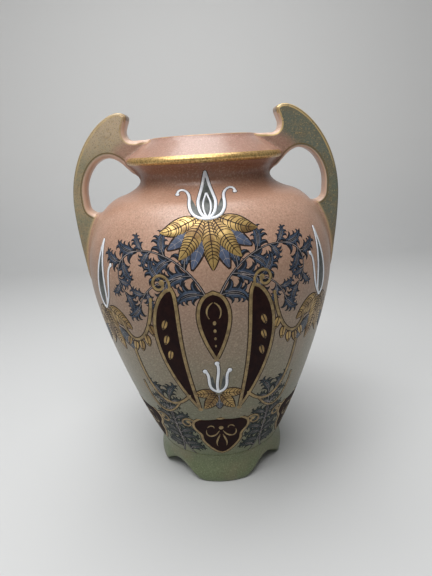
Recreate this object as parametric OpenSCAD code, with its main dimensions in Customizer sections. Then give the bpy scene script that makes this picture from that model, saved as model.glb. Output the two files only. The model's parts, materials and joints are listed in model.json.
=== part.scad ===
// Amphora vase: ovoid body, recessed neck, conical mouth collar, two flat winged handles and a four-footed base.
// The origin is on the ground under the axis, Z is up, and the handles stand out along X.

/* [Body] */
// Radius of the body at its widest
belly_r = 131.5; // [122:0.5:142]
// Height of the widest part above the ground
belly_z = 240; // [220:1:255]
// Radius where the shoulder turns up into the neck
shoulder_r = 91; // [86:0.5:98]
// Height where the shoulder turns up into the neck
shoulder_z = 318; // [308:0.5:323]
// Radius of the body where it sits on the base
seat_r = 73; // [70:0.5:78]
// Thickness of the cast wall
wall = 7; // [5:0.5:9]
// Depth of the floor that drops into the base
register_h = 8; // [5:0.5:12]

/* [Neck] */
// Radius of the neck at its narrowest
neck_r = 68.3; // [66:0.1:74]
// Height of the narrowest part
neck_z = 335; // [332:0.5:340]

/* [Collar] */
// Greatest radius of the gilt edge under the collar
band_r = 81; // [79:0.5:86]
// Height of the underside of the gilt edge
band_z = 349.5; // [347:0.5:352]
// Height of the gilt edge
band_h = 5.5; // [4:0.5:7]
// Depth of the rounded nose of the gilt edge
band_nose = 2; // [1:0.25:3]
// Outer radius of the mouth lip
rim_r = 55; // [50:0.5:60]
// Height of the mouth lip
rim_z = 374; // [368:0.5:380]
// Thickness of the mouth lip
lip_w = 5.5; // [4:0.5:7]
// Height of the rounding on the mouth lip
lip_h = 2.5; // [1.5:0.25:3.5]
// Thickness of the collar behind its gilt edge
collar_t = 12.5; // [10:0.5:15]

/* [Handles] */
// How far a handle stands out beyond the belly
handle_proud = 10.2; // [7:0.1:16]
// How far the wings rise above the mouth lip
wing_rise = 26; // [18:1:36]
// Distance from the mouth lip out to the tip of a wing
tip_gap = 20; // [17:0.5:24]
// Depth of the hollow under the tip of a wing
notch_depth = 4; // [2:0.5:7]
// Width of the strap outside the handle opening
strap_w = 15.2; // [12:0.2:19]
// How far the handle opening rises above the gilt edge
eye_over = 2.4; // [0:0.2:5]
// Thickness of a handle at the mouth lip
root_t = 30; // [22:0.5:36]
// Thickness of a handle at its outer edge
edge_t = 16; // [12:0.5:20]
// Height where the tail of a handle melts into the body
tail_z = 212; // [205:1:218]

/* [Base] */
// Height of the base
base_h = 36; // [32:0.5:42]
// How far the feet stand out beyond the seat
foot_flare = 1.5; // [0.5:0.25:4]
// Height of the fullest part of the feet
foot_z = 10; // [7:0.5:13]
// Rounding under the outer edge of the feet
toe = 3; // [2:0.5:4]
// Thickness of the base ring at its seat
base_wall = 11; // [8:0.5:13]
// Height of the arches between the feet
arch_h = 19; // [14:0.5:23]
// Half width of a foot at the ground
foot_half_w = 26; // [20:0.5:30]
// Depth of the hollow between two feet at the ground
valley_depth = 4; // [2:0.5:6]
// Radius of the hollow between two feet
valley_r = 200; // [150:5:260]

/* [Fits] */
// Clearance around the floor register in the base
register_gap = 0.3; // [0.2:0.05:0.5]

/* [Hidden] */
$fn = 96;
quarter_turn = 90;
half_turn = 180;
full_turn = 360;
feet = 4;
// Overrun of every cut past the face it leaves
cut = 5;

// Steps along the long and the short curves
long_steps = 16;
short_steps = 8;

// How far each curve holds its end directions, as shares of its own span
lower_start_shares = [0.41, 0.24];
lower_end_share = 0.22;
shoulder_start_share = 0.52;
shoulder_end_share = 0.53;
shoulder_slope_share = 0.29;
throat_start_share = 0.56;
throat_end_share = 0.41;
cove_shares = [0.45, 0.45];
nose_share = 0.5;
hollow_share = 0.55;
round_share = 0.55;

foot_r = seat_r + foot_flare;
base_in_r = seat_r - base_wall;
floor_z = base_h - register_h;
seat = [seat_r, base_h];
belly = [belly_r, belly_z];
turn = [shoulder_r, shoulder_z];
waist = [neck_r, neck_z];
band_low = [band_r - band_nose, band_z];
band_top = [band_r - band_nose / 2, band_z + band_h];
lip_out = [rim_r, rim_z - lip_h];
lip_top = [rim_r - lip_w / 2, rim_z];
lip_in = [rim_r - lip_w, rim_z - lip_h];

// Points of a curve with two end points and two guide points
function curve(p, steps) = [
    for (i = [0:steps])
        let (t = i / steps, s = 1 - t)
        s * s * s * p[0] + 3 * s * s * t * p[1] + 3 * s * t * t * p[2] + t * t * t * p[3]
];
function rest(points) = [for (i = [1:len(points) - 1]) points[i]];
function flip(points) = [for (i = [len(points) - 1:-1:0]) points[i]];
function mix(a, b, share) = a + share * (b - a);

// Unit normal at each point of a profile that runs upwards, on its outer side
function ahead(points, i) = points[min(i + 1, len(points) - 1)] - points[max(i - 1, 0)];
function outward(d) = [d[1], -d[0]] / norm(d);
function inset(points, depth) = [for (i = [0:len(points) - 1]) points[i] - depth * outward(ahead(points, i))];

// Outer profile from the base up to the turn of the shoulder
lower_side = curve([
    seat,
    [mix(seat_r, belly_r, lower_start_shares[0]), mix(base_h, belly_z, lower_start_shares[1])],
    [belly_r, mix(belly_z, base_h, lower_end_share)],
    belly
], long_steps);
turn_reach = shoulder_end_share * (belly_r - shoulder_r);
shoulder_side = curve([
    belly,
    [belly_r, mix(belly_z, shoulder_z, shoulder_start_share)],
    turn + turn_reach * [1, -shoulder_slope_share],
    turn
], long_steps);
body_side = concat(lower_side, rest(shoulder_side));

// Outer profile of the neck, from the turn of the shoulder to the underside of the collar
throat_reach = throat_start_share * (shoulder_r - neck_r);
throat_side = curve([
    turn,
    turn + throat_reach * [-1, shoulder_slope_share],
    [neck_r, mix(neck_z, shoulder_z, throat_end_share)],
    waist
], short_steps);
cove_side = curve([
    waist,
    [neck_r, mix(neck_z, band_z, cove_shares[0])],
    [mix(band_low[0], neck_r, cove_shares[1]), mix(band_z, neck_z, nose_share / 2)],
    band_low
], short_steps);
neck_side = concat(throat_side, rest(cove_side));

// Outer profile of the collar, from its underside over the lip
nose_side = curve([
    band_low,
    [band_r, mix(band_z, band_top[1], nose_share / 2)],
    [band_r, mix(band_top[1], band_z, nose_share)],
    band_top
], short_steps);
lip_side = concat(
    curve([lip_out, mix(lip_out, [rim_r, rim_z], round_share), mix(lip_top, [rim_r, rim_z], round_share), lip_top],
        short_steps),
    rest(curve([lip_top, mix(lip_top, [lip_in[0], rim_z], round_share), mix(lip_in, [lip_in[0], rim_z], round_share),
        lip_in], short_steps))
);
collar_side = concat(nose_side, lip_side);

// Inner profile of the collar, from the joint with the neck to the lip
hollow_r = band_low[0] - collar_t;
hollow = [hollow_r, band_z];
collar_hollow = curve([
    hollow,
    [hollow_r, mix(band_z, lip_in[1], nose_share)],
    mix(lip_in, [hollow_r, band_z], hollow_share / 2),
    lip_in
], short_steps);

// Inner profile of the neck, from the turn of the shoulder to the joint with the collar
throat_in = inset(throat_side, wall);
waist_in = [neck_r - wall, neck_z];
neck_hollow = concat(
    [for (i = [0:short_steps - 1]) throat_in[i]],
    curve([waist_in, [waist_in[0], mix(neck_z, band_z, nose_share)], mix(hollow, waist_in, nose_share / 2), hollow],
        short_steps)
);

// Inner profile of the body, from the floor to the turn of the shoulder
body_hollow = inset(body_side, wall);
floor_edge = [body_hollow[0][0] - wall, base_h];

// The closed outer form that the handles are fitted against
module outer_form() {
    rotate_extrude()
        polygon(concat(
            [[0, base_h]],
            body_side, rest(neck_side), rest(nose_side),
            [for (i = [0:short_steps]) lip_side[i]],
            [[0, rim_z]]
        ));
}

module body() {
    color("rosybrown")
        rotate_extrude()
            polygon(concat(
                [[0, floor_z], [base_in_r - register_gap, floor_z], [base_in_r - register_gap, base_h]],
                body_side,
                flip(body_hollow),
                [floor_edge, [0, base_h]]
            ));
}

module neck() {
    color("indianred")
        rotate_extrude()
            polygon(concat(neck_side, flip(neck_hollow)));
}

module rim_collar() {
    color("darksalmon")
        rotate_extrude()
            polygon(concat(collar_side, flip(collar_hollow)));
}

// Outline of a handle, seen from the front, in order round the handle
handle_reach = belly_r + handle_proud;
reach_drop = 12;
wing_z = rim_z + wing_rise;
ledge_drop = 1;
ledge_gap = 5.5;
tip_x = rim_r + tip_gap;
tip_drop = 4.5;
crest_gap = 9;
notch_rise = 7.5;
ledge = [tip_x - ledge_gap, rim_z - ledge_drop];
notch = [tip_x + notch_depth, rim_z + notch_rise];
tip = [tip_x, wing_z - tip_drop];
crest = [tip_x + crest_gap, wing_z];
reach = [handle_reach, shoulder_z - reach_drop];

// The tail runs along the body and ends inside it
tail_sink = 3.5;
tail_lead = 13.3;
tail_run = 11.3;
tail_slope_share = 0.62;
tail = [belly_r - tail_sink, tail_z];
tail_way = [tail_slope_share, 1];

// The opening between the handle, the shoulder and the neck
eye_rise = 3;
heel_drop = 17.5;
heel_sink = 9;
root_gap = 5.7;
root_rise = 5.5;
eye_top_share = 0.53;
heel_share = 0.76;
eye = [handle_reach - strap_w, shoulder_z + eye_rise];
eye_top = [mix(neck_r, eye[0], eye_top_share), band_top[1] + eye_over];
heel = [mix(shoulder_r, eye[0], heel_share), shoulder_z - heel_drop];
root = [neck_r + root_gap, neck_z + root_rise];

// Guide points of the handle's curves, as shares of the step from one named point to the next
function between(a, b, shares) = [mix(a[0], b[0], shares[0]), mix(a[1], b[1], shares[1])];
function bend(a, b, shares, steps) = curve([a, between(a, b, shares[0]), between(a, b, shares[1]), b], steps);

ledge_shares = [[0.68, 0], [1, 0.35]];
notch_shares = [[0, 0.36], [0.95, 0.68]];
tip_shares = [[0, 0.6], [0.4, 1]];
crest_shares = [[0.3, 0], [1, 0.36]];
reach_share = 0.28;
heel_shares = [[0.96, 0.25], [1, 0.24]];
eye_shares = [[0, 0.4], [0.4, 1]];
root_shares = [[0.49, 0], [0.86, 0.97]];
inner_x = rim_r - 2 * lip_w;
handle_outline = concat(
    [[inner_x, ledge[1]]],
    bend(ledge, notch, ledge_shares, short_steps),
    rest(bend(notch, tip, notch_shares, short_steps)),
    rest(bend(tip, crest, tip_shares, short_steps)),
    rest(bend(crest, reach, crest_shares, long_steps)),
    rest(curve([
        reach,
        [reach[0], mix(reach[1], tail_z, reach_share)],
        tail + tail_lead * tail_way,
        tail
    ], long_steps)),
    [tail - tail_run * tail_way],
    [[shoulder_r, tail_z], [shoulder_r, heel[1] - heel_sink], heel - heel_sink * [1, tail_slope_share]],
    bend(heel, eye, heel_shares, short_steps),
    rest(bend(eye, eye_top, eye_shares, long_steps)),
    rest(bend(eye_top, root, root_shares, short_steps)),
    [waist_in, [inner_x, neck_z]]
);

function half_t(x) = mix(root_t, edge_t, (x - rim_r) / (handle_reach - rim_r)) / 2;

module handle() {
    outer_x = handle_reach + cut;
    difference() {
        intersection() {
            rotate([quarter_turn, 0, 0])
                linear_extrude(height = 2 * root_t, center = true)
                    polygon(handle_outline);
            linear_extrude(height = wing_z + cut)
                polygon([
                    [0, half_t(0)], [outer_x, half_t(outer_x)],
                    [outer_x, -half_t(outer_x)], [0, -half_t(0)]
                ]);
        }
        outer_form();
    }
}

module handle_right() {
    color("darkolivegreen")
        handle();
}

module handle_left() {
    color("olivedrab")
        mirror([1, 0, 0])
            handle();
}

// Outer profile of the base, from the ground up to the seat of the body
base_waist = 2.5;
toe_share = 0.45;
toe_shares = [[toe_share, 0], [1, toe_share]];
foot_side = concat(
    bend([foot_r - toe, 0], [foot_r, foot_z], toe_shares, short_steps),
    rest(curve([
        [foot_r, foot_z],
        [foot_r, mix(foot_z, base_h, toe_share)],
        [seat_r - base_waist, mix(base_h, foot_z, toe_share)],
        seat
    ], short_steps))
);

// Front view of one foot and the arches beside it: a rounded toe, then a bracket curve up to the arch
arch_x = foot_r * cos(half_turn / feet);
toe_start_share = 0.77;
toe_end_shares = [0.06, 0.17];
toe_turn_shares = [[0.5, 0], [0.75, 0.5]];
bracket_shares = [[0.3, 0.46], [0.58, 1]];
toe_in = [foot_half_w * toe_start_share, 0];
toe_out = [mix(foot_half_w, arch_x, toe_end_shares[0]), arch_h * toe_end_shares[1]];
arch_top = [arch_x, arch_h];
bracket_side = concat(
    bend(toe_in, toe_out, toe_turn_shares, short_steps),
    rest(bend(toe_out, arch_top, bracket_shares, long_steps))
);
bracket_half = concat([[toe_in[0], -cut]], bracket_side, [[foot_r + cut, arch_h], [foot_r + cut, base_h + cut]]);

module foot_bar() {
    rotate([quarter_turn, 0, 0])
        linear_extrude(height = 2 * (foot_r + cut), center = true)
            polygon(concat(bracket_half, [for (p = flip(bracket_half)) [-p[0], p[1]]]));
}

module foot_base() {
    // Each hollow between two feet leans in, so that it runs out at the seat of the body
    lean = atan(valley_depth / base_h);
    color("darkseagreen")
        difference() {
            intersection() {
                rotate_extrude()
                    polygon(concat([[base_in_r, 0]], foot_side, [[base_in_r, base_h]]));
                union() {
                    foot_bar();
                    rotate([0, 0, quarter_turn]) foot_bar();
                }
            }
            for (k = [0:feet - 1])
                rotate([0, 0, (k + 1 / 2) * full_turn / feet])
                    translate([foot_r - valley_depth + valley_r, 0, 0])
                        rotate([0, lean, 0])
                            cylinder(r = valley_r, h = 2 * (base_h + cut), center = true);
        }
}

body();
neck();
rim_collar();
handle_left();
handle_right();
foot_base();
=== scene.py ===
import json
import math

import bpy
import numpy as np
from mathutils import Matrix, Vector

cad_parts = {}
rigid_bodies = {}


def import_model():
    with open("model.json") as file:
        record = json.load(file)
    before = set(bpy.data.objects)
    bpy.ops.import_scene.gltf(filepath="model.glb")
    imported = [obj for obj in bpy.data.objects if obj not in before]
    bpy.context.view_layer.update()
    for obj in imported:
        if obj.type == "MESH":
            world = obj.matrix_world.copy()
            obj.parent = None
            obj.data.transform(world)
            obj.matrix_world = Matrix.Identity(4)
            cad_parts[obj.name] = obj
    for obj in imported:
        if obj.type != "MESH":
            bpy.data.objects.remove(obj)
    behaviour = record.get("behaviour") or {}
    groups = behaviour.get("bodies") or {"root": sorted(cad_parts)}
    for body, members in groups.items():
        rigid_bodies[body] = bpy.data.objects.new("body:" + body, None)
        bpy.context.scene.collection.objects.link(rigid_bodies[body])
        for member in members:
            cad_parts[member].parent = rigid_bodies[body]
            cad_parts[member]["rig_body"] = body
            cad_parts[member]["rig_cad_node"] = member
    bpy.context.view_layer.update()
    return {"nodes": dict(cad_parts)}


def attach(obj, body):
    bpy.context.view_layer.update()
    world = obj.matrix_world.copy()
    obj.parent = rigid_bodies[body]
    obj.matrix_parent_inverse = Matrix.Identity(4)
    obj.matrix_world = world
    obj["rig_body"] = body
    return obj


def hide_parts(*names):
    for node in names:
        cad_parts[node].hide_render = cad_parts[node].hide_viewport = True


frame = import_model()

# Pieces are drawn in millimetres and become metres through MM; finishes, lights and camera are in metres
MM = 0.001

# Room left under the CAD surface for the raised enamel and gilding
GLAZE_ROOM = 0.40

# Radius and height of the turning points of the outer form, from its seat on the base up to the mouth
SEAT_R, SEAT_Z = 73, 36
BELLY_R, BELLY_Z = 131.5, 240
TURN_R, TURN_Z = 91, 318
WAIST_R, WAIST_Z = 68.3, 335
BAND_R, BAND_Z = 79, 349.5
CONE_R, CONE_Z = 80, 355
LIP_R, LIP_Z = 57.5, 369.85
RIM_R, RIM_Z = 52.25, 374
MOUTH_R, MOUTH_Z = 49.5, 371.5

# Inside: the wall, the joint of neck and collar, and the floor with its register in the base
WALL = 7
THROAT_R = 66.5
FLOOR_Z = 28
REGISTER_R = 61.7

WALL_STEPS = 400
WELD = 0.002 * MM


def bezier(p0, p1, p2, p3, steps):
    """Points of a cubic curve, the last one included."""
    t = np.linspace(0, 1, steps + 1)[:, None]
    s = 1 - t
    a, b, c, d = (np.array(p, float) for p in (p0, p1, p2, p3))
    return s**3 * a + 3 * s * s * t * b + 3 * s * t * t * c + t**3 * d


def chain(*parts):
    """Curves joined end to end, each shared point once."""
    joined = [np.array(parts[0], float)]
    for part in parts[1:]:
        joined.append(np.array(part, float)[1:])
    return np.vstack(joined)


def normals_of(line):
    """Unit normals on the outer side of a profile that runs upwards."""
    step = np.gradient(line, axis=0)
    side = np.column_stack([step[:, 1], -step[:, 0]])
    return side / np.linalg.norm(side, axis=1)[:, None]


def body_line(lower_steps, upper_steps):
    lower = bezier((SEAT_R, SEAT_Z), (97, 85), (BELLY_R, 195.1), (BELLY_R, BELLY_Z), lower_steps)
    upper = bezier((BELLY_R, BELLY_Z), (BELLY_R, 280.6), (112.5, 311.8), (TURN_R, TURN_Z), upper_steps)
    return chain(lower, upper)


def neck_line(steps):
    throat = bezier((TURN_R, TURN_Z), (78.3, 321.7), (WAIST_R, 328), (WAIST_R, WAIST_Z), steps)
    cove = bezier((WAIST_R, WAIST_Z), (WAIST_R, 341.5), (74.2, 345.9), (BAND_R, BAND_Z), steps)
    return chain(throat, cove)


def collar_line(steps):
    nose = bezier((BAND_R, BAND_Z), (81, 350.9), (81, 352.25), (CONE_R, CONE_Z), steps)
    cone = bezier((CONE_R, CONE_Z), (72.5, 359.95), (65, 364.9), (LIP_R, LIP_Z), steps)
    lip = bezier((LIP_R, LIP_Z), (54.6, 371.76), (54.3, RIM_Z), (RIM_R, RIM_Z), steps)
    lip_in = bezier((RIM_R, RIM_Z), (50.8, RIM_Z), (MOUTH_R, 372.9), (MOUTH_R, MOUTH_Z), steps)
    return nose, cone, lip, lip_in


def sunk(line, depth=GLAZE_ROOM):
    """A profile moved in, by the room for the glaze if no depth is given."""
    return line - depth * normals_of(line)


# The outer form in fine steps, for distances and for laying ornament on, and where its cone ends
FORM_BODY, FORM_NECK, FORM_COLLAR = (160, 100), 40, (16, 30, 8, 8)
fine_collar = [collar_line(steps)[i] for i, steps in enumerate(FORM_COLLAR)]
FORM = sunk(chain(body_line(*FORM_BODY), neck_line(FORM_NECK), *fine_collar))
FORM_END = sum(FORM_BODY) + 2 * FORM_NECK + sum(FORM_COLLAR[:2])
RUN = np.concatenate([[0], np.cumsum(np.linalg.norm(np.diff(FORM, axis=0), axis=1))])
FORM_N = normals_of(FORM)


def only(piece):
    """Make a piece the only one selected, and active."""
    bpy.ops.object.select_all(action="DESELECT")
    piece.select_set(True)
    bpy.context.view_layer.objects.active = piece
    return piece


def new_object(name, data):
    """A new object in the scene."""
    made = bpy.data.objects.new(name, data)
    bpy.context.scene.collection.objects.link(made)
    return made


def loop_piece(name, points, closed=True):
    """A piece that is so far only a line of edges."""
    count = len(points)
    edges = [(i, (i + 1) % count) for i in range(count if closed else count - 1)]
    mesh = bpy.data.meshes.new(name)
    mesh.from_pydata([tuple(float(v) * MM for v in p) for p in points], edges, [])
    return only(new_object(name, mesh))


def open_mesh():
    """Edit the active piece, with all of it selected."""
    bpy.ops.object.mode_set(mode="EDIT")
    bpy.ops.mesh.select_all(action="SELECT")


def close_mesh(inside=False):
    """Turn every face one way and leave edit mode."""
    bpy.ops.mesh.select_all(action="SELECT")
    bpy.ops.mesh.normals_make_consistent(inside=inside)
    bpy.ops.object.mode_set(mode="OBJECT")


def turned(name, profile, steps=WALL_STEPS, closed=True):
    """A profile of radius and height, spun round the axis of the vase."""
    piece = loop_piece(name, [(r, 0, z) for r, z in profile], closed)
    open_mesh()
    bpy.ops.mesh.spin(steps=steps, angle=2 * math.pi, center=(0, 0, 0), axis=(0, 0, 1))
    bpy.ops.mesh.select_all(action="SELECT")
    bpy.ops.mesh.remove_doubles(threshold=WELD)
    bpy.ops.mesh.dissolve_degenerate(threshold=WELD / 2)
    close_mesh()
    return piece


def modify(piece, kind, **settings):
    """Apply one modifier to the active piece."""
    bpy.ops.object.modifier_add(type=kind)
    modifier = piece.modifiers[-1]
    for key, value in settings.items():
        setattr(modifier, key, value)
    bpy.ops.object.modifier_apply(modifier=modifier.name)


def smooth(piece, degrees):
    only(piece)
    bpy.ops.object.shade_smooth_by_angle(angle=math.radians(degrees))


def vertices_of(piece):
    co = np.zeros(len(piece.data.vertices) * 3)
    piece.data.vertices.foreach_get("co", co)
    return co.reshape(-1, 3) / MM


def set_vertices(piece, co):
    piece.data.vertices.foreach_set("co", (co * MM).ravel())
    piece.data.update()


# Body, neck and collar, all three cut from one outer profile
BODY_STEPS, NECK_STEPS, COLLAR_STEPS = (44, 40), 10, 8
BODY_END = sum(BODY_STEPS)
NECK_END = BODY_END + 2 * NECK_STEPS
outer_line = sunk(chain(body_line(*BODY_STEPS), neck_line(NECK_STEPS), *collar_line(COLLAR_STEPS)))

body_in = sunk(body_line(24, 18), WALL)
body_shell = turned("body_shell", [
    (0, FLOOR_Z), (30, FLOOR_Z), (REGISTER_R - 1, FLOOR_Z), (REGISTER_R, FLOOR_Z + 1),
    (REGISTER_R, SEAT_Z),
    *outer_line[:BODY_END + 1], *body_in[::-1], (60, SEAT_Z), (30, SEAT_Z), (0, SEAT_Z),
], closed=False)

throat_in = sunk(neck_line(NECK_STEPS)[:NECK_STEPS + 1], WALL)
cove_in = bezier((WAIST_R - WALL, WAIST_Z), (WAIST_R - WALL, 342.2), (65.2, 345.9), (THROAT_R, BAND_Z), 8)
neck_in = chain(throat_in[:-1], cove_in)
neck_ring = turned("neck_ring", [*outer_line[BODY_END:NECK_END + 1], *neck_in[::-1]])

collar_in = bezier((THROAT_R, BAND_Z), (THROAT_R, 360.5), (54.2, 365.5), (49.85, MOUTH_Z), 16)
mouth_collar = turned("mouth_collar", [*outer_line[NECK_END:], *collar_in[::-1][1:]])

for piece in (body_shell, neck_ring, mouth_collar):
    smooth(piece, 32)

# The gilding: a rounded skin over the moulded edge, and a thin line along the lip that is partly gilding
# and partly a painted highlight on the rim
GILT_SKIN = 0.12
edge_line = chain(neck_line(20)[-3:], collar_line(8)[0], collar_line(24)[1][:3])
band_out = bezier((77.68, 348.76), (80.4, 349.5), (83.2, 352.65), (78.02, 356.07), 14)
gilt_band = turned("gilt_band", [*band_out, *sunk(edge_line, 2 * GLAZE_ROOM)[::-1]])
lip, lip_in = collar_line(COLLAR_STEPS)[2:]
lip_line = chain(lip[5:], lip_in[:3])
lip_out = sunk(lip_line, GLAZE_ROOM - GILT_SKIN)
gilt_lip_and_highlight = turned("gilt_lip_and_highlight", [*lip_out, *sunk(lip_line, 2 * GLAZE_ROOM)[::-1]])
for piece in (gilt_band, gilt_lip_and_highlight):
    smooth(piece, 50)


# Handles: one flat outline each, thinner towards the outer edge
ROOT_X, HANDLE_REACH = 55, 141.7
ROOT_HALF_T, EDGE_HALF_T = 15, 8


def handle_outline():
    """The outline of the right handle, and where each run of it ends."""
    ledge, notch, tip, crest = (69.5, 373), (79, 381.5), (75, 395.5), (84, 400)
    reach, tail = (HANDLE_REACH, 306), (128, 212)
    heel, eye, eye_top, root = (118, 300.5), (126.5, 321), (99.1, 357.4), (74, 340.5)
    runs = [
        ("ledge", bezier((44, 373), (52, 373), (60, 373), ledge, 6)),
        ("notch", bezier(ledge, (76, 373), (79, 376), notch, 14)),
        ("notch", bezier(notch, (79, 386.5), (75.2, 391), tip, 14)),
        ("crest", bezier(tip, (75, 398.2), (78.6, 400), crest, 10)),
        ("crest", bezier(crest, (101.3, 400), (HANDLE_REACH, 366.2), reach, 60)),
        ("strap", bezier(reach, (HANDLE_REACH, 279.7), (136.2, 225.3), tail, 40)),
        ("inside", np.array([tail, (121, 200.7), (91, 212), (91, 291.5), (109, 294.9), heel])),
        ("eye", bezier(heel, (126.2, 305.6), (126.5, 305.4), eye, 14)),
        ("eye", bezier(eye, (126.5, 335.6), (115.6, 357.4), eye_top, 40)),
        ("eye", bezier(eye_top, (86.8, 357.4), (77.5, 341), root, 16)),
        ("inside", np.array([root, (61.3, 335), (44, 335), (44, 373)])),
    ]
    points, names = [], []
    for name, run in runs:
        points.extend(run[:-1])
        names.extend([name] * (len(run) - 1))
    return np.array(points), names


OUTLINE, OUTLINE_RUNS = handle_outline()


def form_distance(r, z):
    """Signed distance from the outer form of the vessel, and its normal, for many points."""
    best = np.full(len(r), 1e9)
    index = np.zeros(len(r), int)
    for start in range(0, len(FORM), 8):
        part = FORM[start:start + 8]
        d = (r[:, None] - part[None, :, 0]) ** 2 + (z[:, None] - part[None, :, 1]) ** 2
        k = d.argmin(axis=1)
        value = d[np.arange(len(r)), k]
        better = value < best
        best[better] = value[better]
        index[better] = start + k[better]
    normal = FORM_N[index]
    gap = (r - FORM[index, 0]) * normal[:, 0] + (z - FORM[index, 1]) * normal[:, 1]
    return gap, normal


GRID_STEP = 0.5
GRID_LOW = np.array([30.0, 190.0])
GRID_SIZE = (250, 440)


def outline_grids():
    """Signed distance from the outline on a fine grid, and the nearness to each kind of run."""
    x = GRID_LOW[0] + GRID_STEP * np.arange(GRID_SIZE[0])
    z = GRID_LOW[1] + GRID_STEP * np.arange(GRID_SIZE[1])
    gx, gz = np.meshgrid(x, z, indexing="ij")
    px, pz = gx.ravel(), gz.ravel()
    best = np.full(len(px), 1e9)
    run_best = {name: np.full(len(px), 1e9) for name in set(OUTLINE_RUNS)}
    inside = np.zeros(len(px), bool)
    for i, a in enumerate(OUTLINE):
        b = OUTLINE[(i + 1) % len(OUTLINE)]
        d = b - a
        t = np.clip(((px - a[0]) * d[0] + (pz - a[1]) * d[1]) / (d @ d), 0, 1)
        dist = np.hypot(px - a[0] - t * d[0], pz - a[1] - t * d[1])
        best = np.minimum(best, dist)
        name = OUTLINE_RUNS[i]
        run_best[name] = np.minimum(run_best[name], dist)
        if a[1] != b[1]:
            crosses = (a[1] > pz) != (b[1] > pz)
            inside ^= crosses & (px < a[0] + (pz - a[1]) / (b[1] - a[1]) * d[0])
    signed = np.where(inside, -best, best).reshape(GRID_SIZE)
    return signed, {name: g.reshape(GRID_SIZE) for name, g in run_best.items()}


OUTLINE_GRID, RUN_GRIDS = outline_grids()


def on_grid(grid, x, z):
    """Values between the points of a grid."""
    u = np.clip((x - GRID_LOW[0]) / GRID_STEP, 0, GRID_SIZE[0] - 1.001)
    v = np.clip((z - GRID_LOW[1]) / GRID_STEP, 0, GRID_SIZE[1] - 1.001)
    i, j = u.astype(int), v.astype(int)
    s, t = u - i, v - j
    low = grid[i, j] * (1 - s) + grid[i + 1, j] * s
    high = grid[i, j + 1] * (1 - s) + grid[i + 1, j + 1] * s
    return low * (1 - t) + high * t


def soft_max(a, b, k):
    h = np.maximum(k - np.abs(a - b), 0) / k
    return np.maximum(a, b) + h * h * k / 4


def half_thickness(x):
    return ROOT_HALF_T + (EDGE_HALF_T - ROOT_HALF_T) * (x - ROOT_X) / (HANDLE_REACH - ROOT_X)


def smoothstep(low, high, value):
    t = np.clip((value - low) / (high - low), 0, 1)
    return t * t * (3 - 2 * t)


# Rounding of the edges of a handle, and by side that of its opening and of its notch
EDGE_K = 3.2
EYE_K = {1: 3.2, -1: 6.5}
NOTCH_K = {1: 5.0, -1: 6.5}


def handle_core(p, side):
    """How far points are outside the handle alone, with its outline and face parts."""
    x = p[:, 0] * side
    flat = on_grid(OUTLINE_GRID, x, p[:, 2])
    face = np.abs(p[:, 1]) - half_thickness(x)
    near_eye = smoothstep(12, 0, on_grid(RUN_GRIDS["eye"], x, p[:, 2]))
    near_notch = smoothstep(8, 2, on_grid(RUN_GRIDS["notch"], x, p[:, 2]))
    rounding = EDGE_K + (EYE_K[side] - EDGE_K) * near_eye + (NOTCH_K[side] - EDGE_K) * near_notch
    return soft_max(flat, face, rounding), flat, face


def core_and_slope(p, side):
    step = 0.05
    core = handle_core(p, side)[0]
    slope = np.zeros_like(p)
    for axis in range(3):
        moved = p.copy()
        moved[:, axis] += step
        slope[:, axis] = (handle_core(moved, side)[0] - core) / step
    return core, slope


def wall_and_slope(p):
    r = np.hypot(p[:, 0], p[:, 1])
    wall, normal = form_distance(r, p[:, 2])
    return wall, np.column_stack([normal[:, 0] * p[:, 0] / r, normal[:, 0] * p[:, 1] / r, normal[:, 1]])


# The plate of a handle ends inside the wall, by height this deep
PLATE_LEVELS, PLATE_DEPTHS = [310, 345, 372], [5.6, 4.6, 3.0]
PLATE_VOXEL = 0.75
HOLLOW_LOW, HOLLOW_TOP, HOLLOW_STEPS = 150, 380, 180

# Its fillet to the wall: the size by height, and how far its skirt reaches in under the wall and spreads
FILLET_LEVELS, FILLET_SIZES = [300, 335, 350, 360], [9, 7, 4.5, 4.0]
SKIRT_SHARE, SKIRT_MORE, SKIRT_SPARE, SKIRT_SPREAD = 0.62, 1.5, 0.35, 2.4
LONGEST_STEP = 1.5


def make_plate(name, side):
    """A flat plate with the outline of the handle, less what would stand inside the vessel."""
    plate = loop_piece(name, [(side * x, -20, z) for x, z in OUTLINE])
    open_mesh()
    bpy.ops.mesh.edge_face_add()
    bpy.ops.mesh.extrude_region_move(TRANSFORM_OT_translate={"value": (0, 40 * MM, 0)})
    close_mesh()
    co = vertices_of(plate)
    co[:, 1] = np.sign(co[:, 1]) * half_thickness(co[:, 0] * side)
    set_vertices(plate, co)

    depth = np.interp(FORM[:, 1], PLATE_LEVELS, PLATE_DEPTHS)[:, None]
    inner = (FORM - depth * FORM_N)[:FORM_END]
    inner = inner[inner[:, 1] > HOLLOW_LOW]
    hollow_line = [(0, HOLLOW_LOW), *inner, (45, HOLLOW_TOP), (0, HOLLOW_TOP)]
    hollow = turned("hollow", hollow_line, HOLLOW_STEPS, closed=False)
    only(plate)
    modify(plate, "BOOLEAN", operation="DIFFERENCE", solver="MANIFOLD", object=hollow)
    bpy.data.objects.remove(hollow)
    modify(plate, "REMESH", mode="VOXEL", voxel_size=PLATE_VOXEL * MM)
    return plate


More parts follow.
